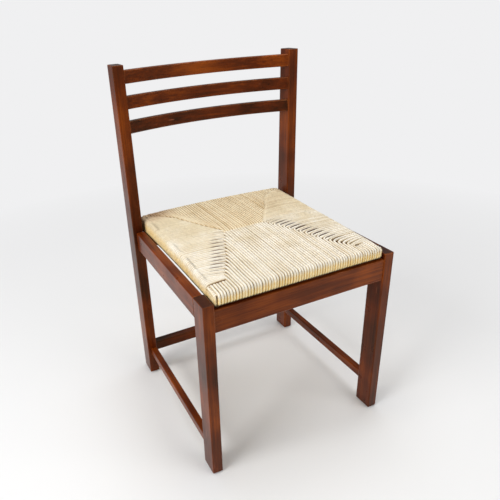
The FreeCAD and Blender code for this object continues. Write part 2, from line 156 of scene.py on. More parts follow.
def stainedWood(name, grain, board, shade):
    material, tree, shader = startMaterial(name)
    spot = addNode(tree, "ShaderNodeTexCoord").outputs["Object"]
    place = stretch(tree, spot, (1, 1, 1), (board, -board, board * 0.7))
    geometry = addNode(tree, "ShaderNodeNewGeometry")
    axis = "XYZ".index(grain)

    def drawn(amount):  # the grain runs long along one axis
        return stretch(tree, place, tuple(amount if step == axis else 1.0 for step in range(3)))

    sway = noise(tree, place, 9.0, 2.0)
    figure = noise(tree, drawn(0.07), 62.0, 5.0, 0.62, 0.35)
    streaks = noise(tree, drawn(0.02), 330.0, 4.0, 0.6)
    pores = ramp(tree, noise(tree, drawn(0.035), 780.0, 2.0, 0.5), (0.60, 0.0), (0.72, 1.0))
    tone = calc(tree, "MULTIPLY_ADD", sway, 0.70, calc(tree, "MULTIPLY_ADD", figure, 0.52, shade - 0.09))
    tone = calc(tree, "ADD", tone, calc(tree, "MULTIPLY", calc(tree, "SUBTRACT", streaks, 0.5), 0.42))
    base = ramp(tree, tone, (0.30, woodLook["dark"]), (0.52, woodLook["middle"]), (0.78, woodLook["light"]))
    base = blendColour(tree, calc(tree, "MULTIPLY", pores, 0.55), base, woodLook["dark"])

    # the ends show darker end grain
    split = addNode(tree, "ShaderNodeSeparateXYZ")
    connect(tree, geometry.outputs["Normal"], split.inputs[0])
    facing = calc(tree, "ABSOLUTE", split.outputs[axis])
    ends = ramp(tree, facing, (0.80, 0.0), (0.95, 1.0))
    base = blendColour(tree, calc(tree, "MULTIPLY", ends, 0.8), base, woodLook["endGrain"])

    # corners are drawn a lighter brown, more in some places than in others: partly wear through the varnish,
    # partly a painted highlight along the rounded edges
    bevel = addNode(tree, "ShaderNodeBevel", samples=6)
    bevel.inputs["Radius"].default_value = woodLook["edgeReach"]
    dot = addNode(tree, "ShaderNodeVectorMath", operation="DOT_PRODUCT")
    connect(tree, bevel.outputs[0], dot.inputs[0])
    connect(tree, geometry.outputs["Normal"], dot.inputs[1])
    corner = ramp(tree, calc(tree, "SUBTRACT", 1.0, dot.outputs["Value"]), (0.004, 0.0), (0.09, 1.0))
    patchy = ramp(tree, noise(tree, place, 38.0, 4.0, 0.65), (0.40, 0.05), (0.68, 1.0))
    rubbedEdgeHighlight = calc(tree, "MULTIPLY", calc(tree, "MULTIPLY", corner, patchy), 0.72)
    base = blendColour(tree, rubbedEdgeHighlight, base, woodLook["edgeWearAndHighlight"])

    # a few short scratches along the grain
    scratches = ramp(tree, noise(tree, drawn(0.09), 150.0, 1.0), (0.75, 0.0), (0.80, 0.4))
    base = blendColour(tree, scratches, base, woodLook["scratch"])
    connect(tree, base, shader.inputs["Base Color"])

    low, high = woodLook["roughness"]
    gloss = calc(tree, "MULTIPLY_ADD", noise(tree, place, 26.0, 3.0), high - low, low)
    connect(tree, calc(tree, "ADD", gloss, calc(tree, "MULTIPLY", pores, 0.1)), shader.inputs["Roughness"])
    shader.inputs["Specular IOR Level"].default_value = woodLook["shine"]
    # painted reflection colour: the varnish's reflections are tinted warm
    shader.inputs["Specular Tint"].default_value = woodLook["shineTint"]
    grooves = calc(tree, "SUBTRACT", calc(tree, "MULTIPLY", streaks, 0.6), calc(tree, "MULTIPLY", pores, 0.5))
    bumps(tree, shader, (noise(tree, drawn(0.2), 30.0, 2.0), 0.12, 0.0012), (grooves, 0.22, 0.0003))
    return material


# each piece: the way its grain runs, and how much lighter or darker it is drawn, partly its board's own tone
# and partly painted shade
woodPieces = {
    "front_leg_left": ("Z", -0.04), "front_leg_right": ("Z", -0.06),
    "back_post_left": ("Z", -0.02), "back_post_right": ("Z", -0.01),
    "side_rail_left": ("Y", 0.02), "side_rail_right": ("Y", 0.0),
    "front_rail": ("X", 0.04), "back_rail": ("X", 0.0),
    "side_stretcher_left": ("Y", 0.02), "side_stretcher_right": ("Y", -0.02), "back_stretcher": ("X", -0.05),
    "top_slat": ("X", 0.0), "middle_slat": ("X", -0.04), "bottom_slat": ("X", -0.12),
}
for board, (name, (grain, shade)) in enumerate(woodPieces.items()):
    nodes[name].data.materials.clear()
    nodes[name].data.materials.append(stainedWood(f"stainedWood_{name}", grain, board * 1.37, shade))
print("wood: stained and varnished,", len(woodPieces), "pieces")


# plain inner wood, for the bars and dowels that the rush hides

def plainWood(grain):
    material, tree, shader = startMaterial(f"plainWood{grain}")
    place = addNode(tree, "ShaderNodeTexCoord").outputs["Object"]
    axis = "XYZ".index(grain)
    drawn = stretch(tree, place, tuple(0.05 if step == axis else 1.0 for step in range(3)))
    figure = noise(tree, drawn, 120.0, 5.0, 0.6)
    connect(tree, ramp(tree, figure, (0.35, colour(168, 128, 82)), (0.65, colour(214, 182, 134))),
            shader.inputs["Base Color"])
    connect(tree, calc(tree, "MULTIPLY_ADD", figure, 0.2, 0.55), shader.inputs["Roughness"])
    bumps(tree, shader, (figure, 0.3, 0.0004))
    return material


for grain, names in {"X": ["seat_bar_front", "seat_bar_back"],
                     "Y": ["seat_bar_left", "seat_bar_right", "seat_dowels"]}.items():
    finish = plainWood(grain)
    for name in names:
        nodes[name].data.materials.clear()
        nodes[name].data.materials.append(finish)


# black plastic glides under the feet

def glidePlastic():
    material, tree, shader = startMaterial("glidePlastic")
    place = addNode(tree, "ShaderNodeTexCoord").outputs["Object"]
    scuffs = noise(tree, place, 420.0, 5.0, 0.7)
    connect(tree, ramp(tree, scuffs, (0.40, colour(20, 19, 18)), (0.75, colour(58, 54, 50))),
            shader.inputs["Base Color"])
    connect(tree, calc(tree, "MULTIPLY_ADD", scuffs, 0.3, 0.4), shader.inputs["Roughness"])
    bumps(tree, shader, (scuffs, 0.25, 0.0002))
    return material


nodes["foot_glides"].data.materials.clear()
nodes["foot_glides"].data.materials.append(glidePlastic())
print("glides: four")


# rush seat: strands wound over four hidden bars, in the envelope pattern

# sizes of the seat's form, in millimetres
seatForm = {
    "frontHalf": 199.0,
    "backHalf": 202.0,
    "front": -218.0,
    "back": 217.0,
    "bottom": 416.3,
    "edgeHeight": 31.0,
    "backRise": 9.5,
    "swell": 2.5,
    "crown": 8.0,
    "drawIn": 3.0,
    "sideRound": 9.5,
    "lowRound": 9.0,
    "endRound": 9.0,
    "endLowRound": 15.0,
    "cornerRound": 14.0,
    "cornerSoft": 6.0,
    "lumps": 0.7,
    "lumpSize": 55.0,
}

# how the strands run, in millimetres; a seam is a line of (x, y) points that the strands turn at
weave = {
    "pitch": 6.3,
    "halfWide": 3.02,
    "halfThick": 2.7,
    "depth": 2.3,
    "ridge": 8.0,
    "bandBack": -176.0,
    "seamLeft": [(-155, -176), (-152, -164), (-142, -148), (-129, -124),
                 (-116, -99), (-105, -76), (-88, -36), (-67, 8)],
    "seamRight": [(150, -182), (130, -160), (112, -138), (97, -104), (77, -62), (55, -22), (38, 8)],
    "seamBackLeft": [(-192, 196), (-162, 180), (-136, 149), (-118, 108), (-102, 70), (-86, 40), (-67, 8)],
    "seamBackRight": [(192, 198), (160, 184), (132, 160), (112, 124), (92, 88), (66, 48), (38, 8)],
    "rise": 14.0,
    "riseReach": 38.0,
    "pairGap": 9.0,
    "bends": {-1: 18, 1: 5},
    "startClear": 2.0,
    "slotWide": 2.6,
    "sway": 1.1,
    "swaySize": 85.0,
    "underSlope": 1.4,
}


# the slots beside the left (-1) and right (1) front seam, in millimetres, and the painted shade on the
# strands behind them each pair says where along y a fade starts and how long it is
slotForm = {
    -1: {"length": 36.0, "opens": (-182.0, 70.0), "closes": (-30.0, 40.0), "closesBy": 0.6,
         "dark": 0.8, "darkens": (-190.0, 75.0), "clears": (-40.0, 40.0), "clearsBy": 0.75},
    1: {"length": 44.0, "opens": (-162.0, 40.0), "closes": (-30.0, 40.0), "closesBy": 0.0,
        "dark": 1.0, "darkens": (-156.0, 36.0), "clears": (-8.0, 8.0), "clearsBy": 1.0},
}


def alongSeat(y):
    return min(1.0, max(0.0, (y - seatForm["front"]) / (seatForm["back"] - seatForm["front"])))


def halfWidth(y):
    share = alongSeat(y)
    wide = seatForm["frontHalf"] + (seatForm["backHalf"] - seatForm["frontHalf"]) * share
    return wide - seatForm["drawIn"] * math.sin(math.pi * share)


def edgeTop(y):
    share = alongSeat(y)
    return (seatForm["bottom"] + seatForm["edgeHeight"] + seatForm["backRise"] * share
            + seatForm["swell"] * math.sin(math.pi * share))


def roundOff(distance, radius):  # how far a rounded corner has dropped this far in from the face
    if distance >= radius:
        return 0.0
    return radius - math.sqrt(max(0.0, radius ** 2 - (radius - max(0.0, distance)) ** 2))


def smooth(value):
    value = min(1.0, max(0.0, value))
    return value * value * (3 - 2 * value)


def lump(x, y, size, layer=0.0):
    return fieldNoise(Vector((x / size, y / size, layer)))


def topHeight(x, y, sides=True, ends=True):
    flat = halfWidth(y) - seatForm["sideRound"]
    swell = seatForm["crown"] * (1 + math.sin(math.pi * alongSeat(y))) / 2
    height = edgeTop(y) + swell * (1 - min(1.0, abs(x) / flat) ** 2)
    height += seatForm["lumps"] * lump(x, y, seatForm["lumpSize"], 3.0)
    if sides:
        soft = seatForm["cornerSoft"] * (1 - smooth((y - seatForm["front"]) / 50.0))
        height -= roundOff(halfWidth(y) - abs(x), seatForm["sideRound"] + soft)
    if ends:
        height -= roundOff(min(y - seatForm["front"], seatForm["back"] - y), seatForm["endRound"])
    return height


def swayed(x, y):  # neighbouring strands wander together by a millimetre or so
    edge = smooth(min(halfWidth(y) - abs(x), y - seatForm["front"], seatForm["back"] - y) / 40.0)
    amount = weave["sway"] * edge
    return (x + amount * lump(x, y, weave["swaySize"], 7.0), y + amount * lump(x, y, weave["swaySize"], 11.0))


def seamAt(points, value, across):
    # the seam's other coordinate where its x (across 0) or y (across 1) is this value
    ordered = sorted(points, key=lambda point: point[across])
    other = 1 - across
    if value <= ordered[0][across]:
        return ordered[0][other]
    for first, second in zip(ordered, ordered[1:]):
        if value <= second[across]:
            share = (value - first[across]) / max(1e-9, second[across] - first[across])
            return first[other] + (second[other] - first[other]) * share
    return ordered[-1][other]


def edgeWrap(top, lowRound, highRound, depth, under):
    # (distance in from the face, height) from below the bar, round its face and over to the top
    low = seatForm["bottom"] + weave["halfThick"] + 0.1
    reach = lowRound - depth
    points = []
    if under > lowRound + 2:
        points = [(under, low + 2.0), (under - 6, low), ((under + lowRound) / 2, low)]
        if under < lowRound + 16:
            points = [(under, low + 1.0)]
    for step in range(5):
        angle = math.radians(90 * step / 4)
        points.append((lowRound - reach * math.sin(angle), low + reach * (1 - math.cos(angle))))
    middle = (points[-1][1] + top - highRound) / 2
    points.append((depth, middle))
    reach = highRound - depth
    for step in range(6):
        angle = math.radians(90 * step / 5)
        points.append((highRound - reach * math.cos(angle), top - highRound + reach * math.sin(angle)))
    return points


def evenly(points, spacing):  # the same line with points at an even spacing, in plan
    lengths = [0.0]
    for first, second in zip(points, points[1:]):
        lengths.append(lengths[-1] + math.dist(first, second))
    count = max(2, round(lengths[-1] / spacing))
    result = []
    at = 0
    for step in range(count + 1):
        wanted = lengths[-1] * step / count
        while at < len(lengths) - 2 and lengths[at + 1] < wanted:
            at += 1
        share = (wanted - lengths[at]) / max(1e-9, lengths[at + 1] - lengths[at])
        result.append(tuple(a + (b - a) * share for a, b in zip(points[at], points[at + 1])))
    return result


def relaxed(points, passes):  # rounds the corners of a line in plan, and keeps its ends
    for _ in range(passes):
        between = []
        for before, here, after in zip(points, points[1:], points[2:]):
            between.append(tuple(0.25 * a + 0.5 * b + 0.25 * c for a, b, c in zip(before, here, after)))
        points = [points[0]] + between + [points[-1]]
    return points


def overEnd(x, depth, side=-1):
    # the strand comes up round the front bar (side -1) or the back bar (side 1)
    face = seatForm["front"] if side < 0 else seatForm["back"]
    setIn = roundOff(halfWidth(face) - abs(x), seatForm["cornerRound"])
    shoulder = face - side * seatForm["endRound"]
    under = min(212.0, max(0.0, (halfWidth(face) - abs(x)) * weave["underSlope"] + 2))
    top = topHeight(x, shoulder, ends=False)
    profile = edgeWrap(top, seatForm["endLowRound"], seatForm["endRound"], depth, under)
    path = []
    for distance, height in profile:
        path.append((x, face - side * max(distance, setIn + depth), height, 0.0, float(-side)))
    return path


def overSide(side, y, depth):
    # the strand comes up round the left bar (side -1) or the right bar (side 1)
    top = topHeight(halfWidth(y) - seatForm["sideRound"], y, sides=False)
    under = min(154.0, max(0.0, min(y - seatForm["front"], seatForm["back"] - y) / weave["underSlope"] + 1))
    profile = edgeWrap(top, seatForm["lowRound"], seatForm["sideRound"], depth, under)
    return [(side * (halfWidth(y) - distance), y, height, float(-side), 0.0) for distance, height in profile]


def turnedBack(path):
    return [(x, y, z, -headX, -headY) for x, y, z, headX, headY in reversed(path)]


def onTop(plan, depth, diveStart=(0.0, 1.0), diveEnd=(0.0, 1.0)):
    # lays a line in plan on the seat's top; a dive is (how deep, over what length) at its start or end
    points = []
    total = sum(math.dist(a, b) for a, b in zip(plan, plan[1:]))
    gone = 0.0
    plan = [swayed(x, y) for x, y in plan]
    for step, (x, y) in enumerate(plan):
        if step:
            gone += math.dist(plan[step - 1], plan[step])
        before = plan[max(0, step - 1)]
        after = plan[min(len(plan) - 1, step + 1)]
        run = max(1e-9, math.dist(before, after))
        sink = 0.0
        for (deep, length), away in ((diveStart, gone), (diveEnd, total - gone)):
            sink += deep * max(0.0, 1 - max(0.0, away) / length) ** 2
        headX, headY = (after[0] - before[0]) / run, (after[1] - before[1]) / run
        points.append((x, y, topHeight(x, y) - depth - sink, headX, headY))
    return points


class StrandMesh:
    # gathers tubes of an oval section into one mesh
    def __init__(self):
        self.corners = []
        self.faces = []
        self.wrap = []
        self.tones = []

    def add(self, path, wide, thick, tone, rear=0.0, shade=None, facing=1, sides=8):
        start = len(self.corners)
        along = tone * 3.7
        for step, (x, y, z, headX, headY) in enumerate(path):
            here = Vector((x, y, z))
            before = Vector(path[max(0, step - 1)][:3])
            after = Vector(path[min(len(path) - 1, step + 1)][:3])
            run = (after - before).normalized()
            across = Vector((headY, -headX, 0)).normalized()
            outward = across.cross(run).normalized()
            if step:
                along += (here - before).length * mm
            halfWide = wide[step] if isinstance(wide, list) else wide
            thin = min(1.0, 0.35 + 0.65 * halfWide / weave["halfWide"])
            # how far this point lies down the edge roll, which gets painted golden bounce light
            drop = topHeight(x, y, sides=False, ends=False) - z
            edge = smooth((drop - 4.0) / 11.0)
            for turn in range(sides):
                angle = 2 * math.pi * turn / sides - math.pi / 2
                corner = here + across * halfWide * math.cos(angle) + outward * thick * thin * math.sin(angle)
                self.corners.append(corner * mm)
                self.wrap.append((turn / sides, along))
                # the side that faces a slot is darkened with painted shade
                dark = shade[step] * smooth((facing * math.cos(angle) - 0.36) / 0.6) if shade else 0.0
                self.tones.append((tone, rear, edge, 1.0 - dark))
        for step in range(len(path) - 1):
            for turn in range(sides):
                a = start + step * sides + turn
                b = start + step * sides + (turn + 1) % sides
                self.faces.append((a, b, b + sides, a + sides))
        self.faces.append(tuple(start + turn for turn in reversed(range(sides))))
        last = start + (len(path) - 1) * sides
        self.faces.append(tuple(last + turn for turn in range(sides)))

    def build(self, name):
        mesh = bpy.data.meshes.new(name)
        mesh.from_pydata(self.corners, [], self.faces)
        layer = mesh.uv_layers.new(name="strand")
        tones = mesh.color_attributes.new("strandToneAndShade", "FLOAT_COLOR", "POINT")
        for step, tone in enumerate(self.tones):
            tones.data[step].color = tone
        for face in mesh.polygons:
            places = [self.wrap[mesh.loops[loop].vertex_index] for loop in face.loop_indices]
            seam = max(place[0] for place in places) - min(place[0] for place in places) > 0.5
            for loop, place in zip(face.loop_indices, places):
                layer.data[loop].uv = (place[0] + 1 if seam and place[0] < 0.5 else place[0], place[1])
            face.use_smooth = len(places) == 4
        piece = bpy.data.objects.new(name, mesh)
        bpy.context.scene.collection.objects.link(piece)
        return piece


def layStrands():
    chance = random.Random(11)
    strands = StrandMesh()
    wide, thick, depth, pitch = (weave[key] for key in ("halfWide", "halfThick", "depth", "pitch"))
    ridge, bandBack, pairGap = weave["ridge"], weave["bandBack"], weave["pairGap"]
    left, right = weave["seamLeft"], weave["seamRight"]
    seams = {-1: left, 1: right}
    inner = {-1: left[-1][0], 1: right[-1][0]}
    outer = {-1: left[0][0], 1: right[0][0]}
    backSeams = {-1: weave["seamBackLeft"], 1: weave["seamBackRight"]}
    turned = {-1: [], 1: []}

    def uneven(amount):
        return chance.uniform(-amount, amount)

    def tone():
        return min(1.0, max(0.0, 0.5 + chance.gauss(0, 0.2)))

    def spread(half, count):  # places across the seat, a little uneven between the two ends
        places = []
        for step in range(count + 1):
            shift = uneven(0.35) * (0 < step < count)
            places.append(-half + 2 * half * step / count + shift)
        return places

    def riseAt(away):  # how far a side strand has risen towards the back this far out from the seam
        return weave["rise"] * (1 - math.exp(-max(0.0, away) / weave["riseReach"]))

    def sideRow(side, x, startY, edgeY, parts=14):
        # a side strand's line from the seam out to the shoulder of the side bar
        reach = max(4.0, halfWidth(edgeY) - seatForm["sideRound"] - abs(x))
        share = (edgeY - startY) / riseAt(reach)
        return [(x + side * reach * part / parts, startY + share * riseAt(reach * part / parts))
                for part in range(parts + 1)]

    def fade(value, start, length):
        return smooth((value - start) / length)

    def slotOpen(side, away, y):  # a slot between two pairs of side strands is a narrow spindle
        form = slotForm[side]
        long = form["length"]
        wide = weave["slotWide"] * fade(y, *form["opens"]) * (1 - form["closesBy"] * fade(y, *form["closes"]))
        return wide * fade(away, -2, 7) * (1 - fade(away, 0.25 * long, 0.8 * long))

    # painted shade: how dark the strand behind a slot is drawn
    def slotShade(side, away, y):  # how dark the strand behind a slot is
        form = slotForm[side]
        long = form["length"]
        dark = form["dark"] * fade(y, *form["darkens"]) * (1 - form["clearsBy"] * fade(y, *form["clears"]))
        return dark * fade(away, -3, 5) * (1 - fade(away, 0.6 * long, 0.4 * long))

    # front panel: strands come over the front bar and run back to the ridge or to a seam
    half = seatForm["frontHalf"] - weave["halfThick"] - 0.6
    fromY = seatForm["front"] + seatForm["endRound"] + weave["startClear"]
    places = spread(half, round(2 * half / pitch))
    for step, x in enumerate(places):
        side = -1 if x < (inner[-1] + inner[1]) / 2 else 1
        lift = depth + uneven(0.4)
        wideHere = wide * (1 + uneven(0.07))
        start = overEnd(x, lift)
        if inner[-1] <= x <= inner[1]:
            plan = evenly([(x, fromY), (x + uneven(0.8), ridge + 1.5 - 2.5 * (chance.random() < 0.4))], 6.5)
            strands.add(start + onTop(plan, lift, diveEnd=(2.6, 5.0)), wideHere, thick, tone())
        elif abs(x) >= abs(outer[side]):
            stop = bandBack - 1 if side < 0 else bandBack - 8 + 12 * smooth((x - outer[1]) / 40)
            plan = evenly([(x, fromY), (x, stop)], 4.0)
            dive = (4.2, 4.0) if side < 0 else (2.2, 3.0)
            strands.add(start + onTop(plan, lift, diveEnd=dive), wideHere, thick, tone())
        else:
            seamY = seamAt(seams[side], x, 0)
            turned[side].append((seamY, x, lift, wideHere, start))

    for side in (-1, 1):
        # each turned strand has a partner that starts at the seam and runs beside it; between a partner and
        # the next turned strand a slot stays open for a short way
        rows = sorted(turned[side], key=lambda item: item[0])
        for place, (seamY, x, lift, wideHere, start) in enumerate(rows):
            lowGap = seamY - rows[place - 1][0] if place else 6.5
            highGap = rows[place + 1][0] - seamY if place + 1 < len(rows) else lowGap
            below = lowGap / 4 if lowGap > pairGap else lowGap / 2
            above = highGap / 4 if highGap > pairGap else highGap / 2
            share = 0.0 if not place else 0.5 if lowGap > pairGap else 1.0
            bent = []
            for atX, atY in sideRow(side, x, seamY, seamY + weave["rise"]):
                slot = share * slotOpen(side, abs(atX) - abs(x) - 4, seamY)
                bent.append((atX, atY + (above - below + slot) / 2))
            plan = relaxed(evenly([(x, fromY)] + bent, 3.0), weave["bends"][side])
            plan = plan[:-1:2] + [plan[-1]]
            path = start + onTop(plan, lift) + turnedBack(overSide(side, bent[-1][1], lift))
            widths = []
            shade = []
            for atX, atY, atZ, headX, headY in path:
                away = abs(atX) - abs(x)
                turnedBy = smooth((abs(headX) - 0.35) / 0.4) * (atZ > topHeight(atX, atY) - 6)
                shade.append(slotShade(side, away - 2, seamY) * turnedBy * bool(place))
                slot = share * slotOpen(side, away - 4, seamY)
                full = (above + below + 0.9 * math.exp(-away / weave["riseReach"]) - slot) / 2 * 1.04
                widths.append(wideHere + (full - wideHere) * smooth((away - 2) / 9))
            strands.add(path, widths, thick, tone(), shade=shade, facing=side)
            if place and lowGap > pairGap:
                startX = (x + rows[place - 1][1]) / 2
                startY = seamY - lowGap / 2
                edgeY = startY + weave["rise"]
                bent = [(atX, atY - slotOpen(side, abs(atX) - abs(startX) - 7, seamY) / 4)
                        for atX, atY in sideRow(side, startX, startY, edgeY)]
                lift = depth + uneven(0.35)
                top = onTop(evenly(bent, 5.0), lift, diveStart=(2.8, 9.0))
                path = top + turnedBack(overSide(side, edgeY, lift))
                widths = []
                for atX, atY, atZ, headX, headY in path:
                    away = abs(atX) - abs(startX)
                    slot = slotOpen(side, away - 7, seamY) / 2
                    widths.append((lowGap / 2 + 0.9 * math.exp(-away / weave["riseReach"]) - slot) / 2 * 1.04)
                strands.add(path, widths, thick, tone())

        # a few more behind the corner band, before the first turned strand
        lowest = rows[0][0] + weave["rise"]
        first = bandBack + (4.2 if side < 0 else 3.0)
        firstStart = first + 1 if side < 0 else first - 7
        count = max(2, round((lowest - first) / pitch))
        for step in range(count):
            edgeY = first + (lowest - first) * step / count
            startY = firstStart + (rows[0][0] + 4 - firstStart) * step / count
            row = sideRow(side, side * (abs(rows[0][1]) - 3), startY, edgeY, 8)
            top = onTop(evenly(row, 5.0), depth, diveStart=(2.4, 9.0) if side < 0 else (0.8, 6.0))
            strands.add(top + turnedBack(overSide(side, edgeY, depth)), wide * 1.04, thick, tone())
        # the side of the corner band, below its outermost strand
        low = seatForm["front"] + seatForm["endRound"]
        count = round((first - low) / pitch)
        for step in range(count):
            y = low + (first - low) * step / count
            path = overSide(side, y, depth + 0.6)[:-3]
            x, y, z, headX, headY = path[-1]
            path.append((x - side * 5.0, y, z + 1.0, headX, headY))
            strands.add(path, wide * 1.03, thick, tone())

    # side panels, back half: they start under the ends of the back panel's strands
    for side in (-1, 1):
        seam = backSeams[side]
        firstEdge = max(item[0] for item in turned[side]) + weave["rise"] + pitch
        lastEdge = seatForm["back"] - seatForm["endRound"] - 2
        count = round((lastEdge - firstEdge) / pitch)
        for step in range(count + 1):
            share = step / count
            seamY = ridge + 4 + (seam[0][1] + 2 - ridge - 4) * share
            edgeY = firstEdge + (lastEdge - firstEdge) * share + uneven(0.3)
            x = seamAt(seam, seamY, 1) - side * 7
            row = sideRow(side, x, seamY - 1, edgeY, 10)
            lift = depth + uneven(0.35)
            top = onTop(evenly(row, 6.5), lift, diveStart=(3.2, 15.0))
            path = top + turnedBack(overSide(side, row[-1][1], lift))
            rear = 0.15 * share if side < 0 else 0.35 + 0.5 * share
            strands.add(path, wide * (1 + uneven(0.06)), thick, tone(), rear)

    # back panel: strands come over the back bar and run forward, leaning in a little before the seam
    half = seatForm["backHalf"] - weave["halfThick"] - 0.6
    for x in spread(half, round(2 * half / pitch)):
        side = -1 if x < (inner[-1] + inner[1]) / 2 else 1
        lift = depth + uneven(0.35)
        wideHere = wide * (1 + uneven(0.07))
        fromY = seatForm["back"] - seatForm["endRound"] - 2
        endY, lean = ridge - 4.0, 0.0
        if not inner[-1] <= x <= inner[1]:
            endY, lean = seamAt(backSeams[side], x, 0) - 1.5, 7.0 if side < 0 else 2.5
        endY = min(endY, fromY - 10)
        plan = []
        for part in range(25):
            y = fromY + (endY - fromY) * part / 24
            near = max(0.0, 1 - (y - endY) / 60.0)
            plan.append((x - side * lean * near ** 1.6, y))
        dive = (3.4, 13.0) if lean == 0 else (2.0, 7.0)
        path = overEnd(x, lift, side=1) + onTop(evenly(plan, 6.0), lift, diveEnd=dive)
        widths = [wideHere * (1 - (0.0 if lean == 0 else 0.45) * max(0.0, 1 - abs(atY - endY) / 15.0))
                  for atX, atY, atZ, headX, headY in path]
        strands.add(path, widths, thick, tone(), rear=1.0)
    return strands.build("rushSeat")


seatPiece = layStrands()
print("rush: strands of the top and edges,", len(seatPiece.data.polygons), "faces")


def stuffingBody():
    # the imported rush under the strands, which shows only in the slots
    inset, across, along = 3.6, 24, 14
    sections = []
    ends = [0.0, 1.0, 2.8, 5.2, seatForm["endRound"] - 0.2]
    length = seatForm["back"] - seatForm["front"] - 2 * inset
    stations = ends + [length * step / along for step in range(1, along)]
    stations += [length - end for end in reversed(ends)]
    for station in stations:
        y = seatForm["front"] + inset + station
        drop = roundOff(min(station, length - station), seatForm["endRound"] - 0.2)
        half = halfWidth(y) - inset - drop
        low = seatForm["bottom"] + inset + drop
        ring = []
        for step in range(across + 1):
            x = -half + 2 * half * step / across
            high = topHeight(x, y, sides=False, ends=False) - inset - drop
            high -= roundOff(half - abs(x), seatForm["sideRound"] - inset)
            ring.append(Vector((x, y, high)))
        for step in range(across + 1):
            x = half - 2 * half * step / across
            ring.append(Vector((x, y, low + roundOff(half - abs(x), seatForm["lowRound"] - inset))))
        sections.append(ring)
    corners = [corner * mm for ring in sections for corner in ring]
    size = len(sections[0])
    faces = []
    for step in range(len(sections) - 1):
        for turn in range(size):
            a, b = step * size + turn, step * size + (turn + 1) % size
            faces.append((a, b, b + size, a + size))
    faces.append(tuple(reversed(range(size))))
    faces.append(tuple((len(sections) - 1) * size + turn for turn in range(size)))
    mesh = bpy.data.meshes.new("rushStuffing")
    mesh.from_pydata(corners, [], faces)
    for face in mesh.polygons:
        face.use_smooth = True
    piece = bpy.data.objects.new("rushStuffing", mesh)
    bpy.context.scene.collection.objects.link(piece)
    return piece


stuffingPiece = stuffingBody()


rushLook = {
    # painted highlight along the top of each strand
    "crestHighlight": colour(250, 243, 228),
    "straw": colour(230, 212, 170),
    "body": colour(230, 214, 182),
    # painted shade down the sides of each strand, between neighbours
    "flankShade": colour(180, 148, 104),
    # golden brown between strands on the edge roll: painted shade with painted bounce light
    "edgeFlankBounceShade": colour(206, 152, 70),
    # painted highlight along the top of each strand, at the back
    "rearCrestHighlight": colour(246, 230, 196),
    "rearBody": colour(218, 190, 144),
    # golden colours on the edge roll: painted bounce light from a yellow floor
    "edgeCrestBounceLight": colour(255, 234, 180),
    "edgeBodyBounceLight": colour(255, 218, 136),
    "brown": colour(166, 118, 78),
    # painted shade in the slots
    "slotPaintedShade": colour(70, 36, 12),
    # painted shade where the edge rolls under on to the rails
    "under": colour(58, 36, 22),
    # the stuffing's own rush drawn dark brown: painted shade for the gaps where it shows
    "packedDark": colour(104, 72, 42),
    "packedLight": colour(158, 120, 78),
    "brownPatchPlace": (-0.168, 0.208, 0.453),
    "rimShade": 10.0,
    "twist": 42.0,
}


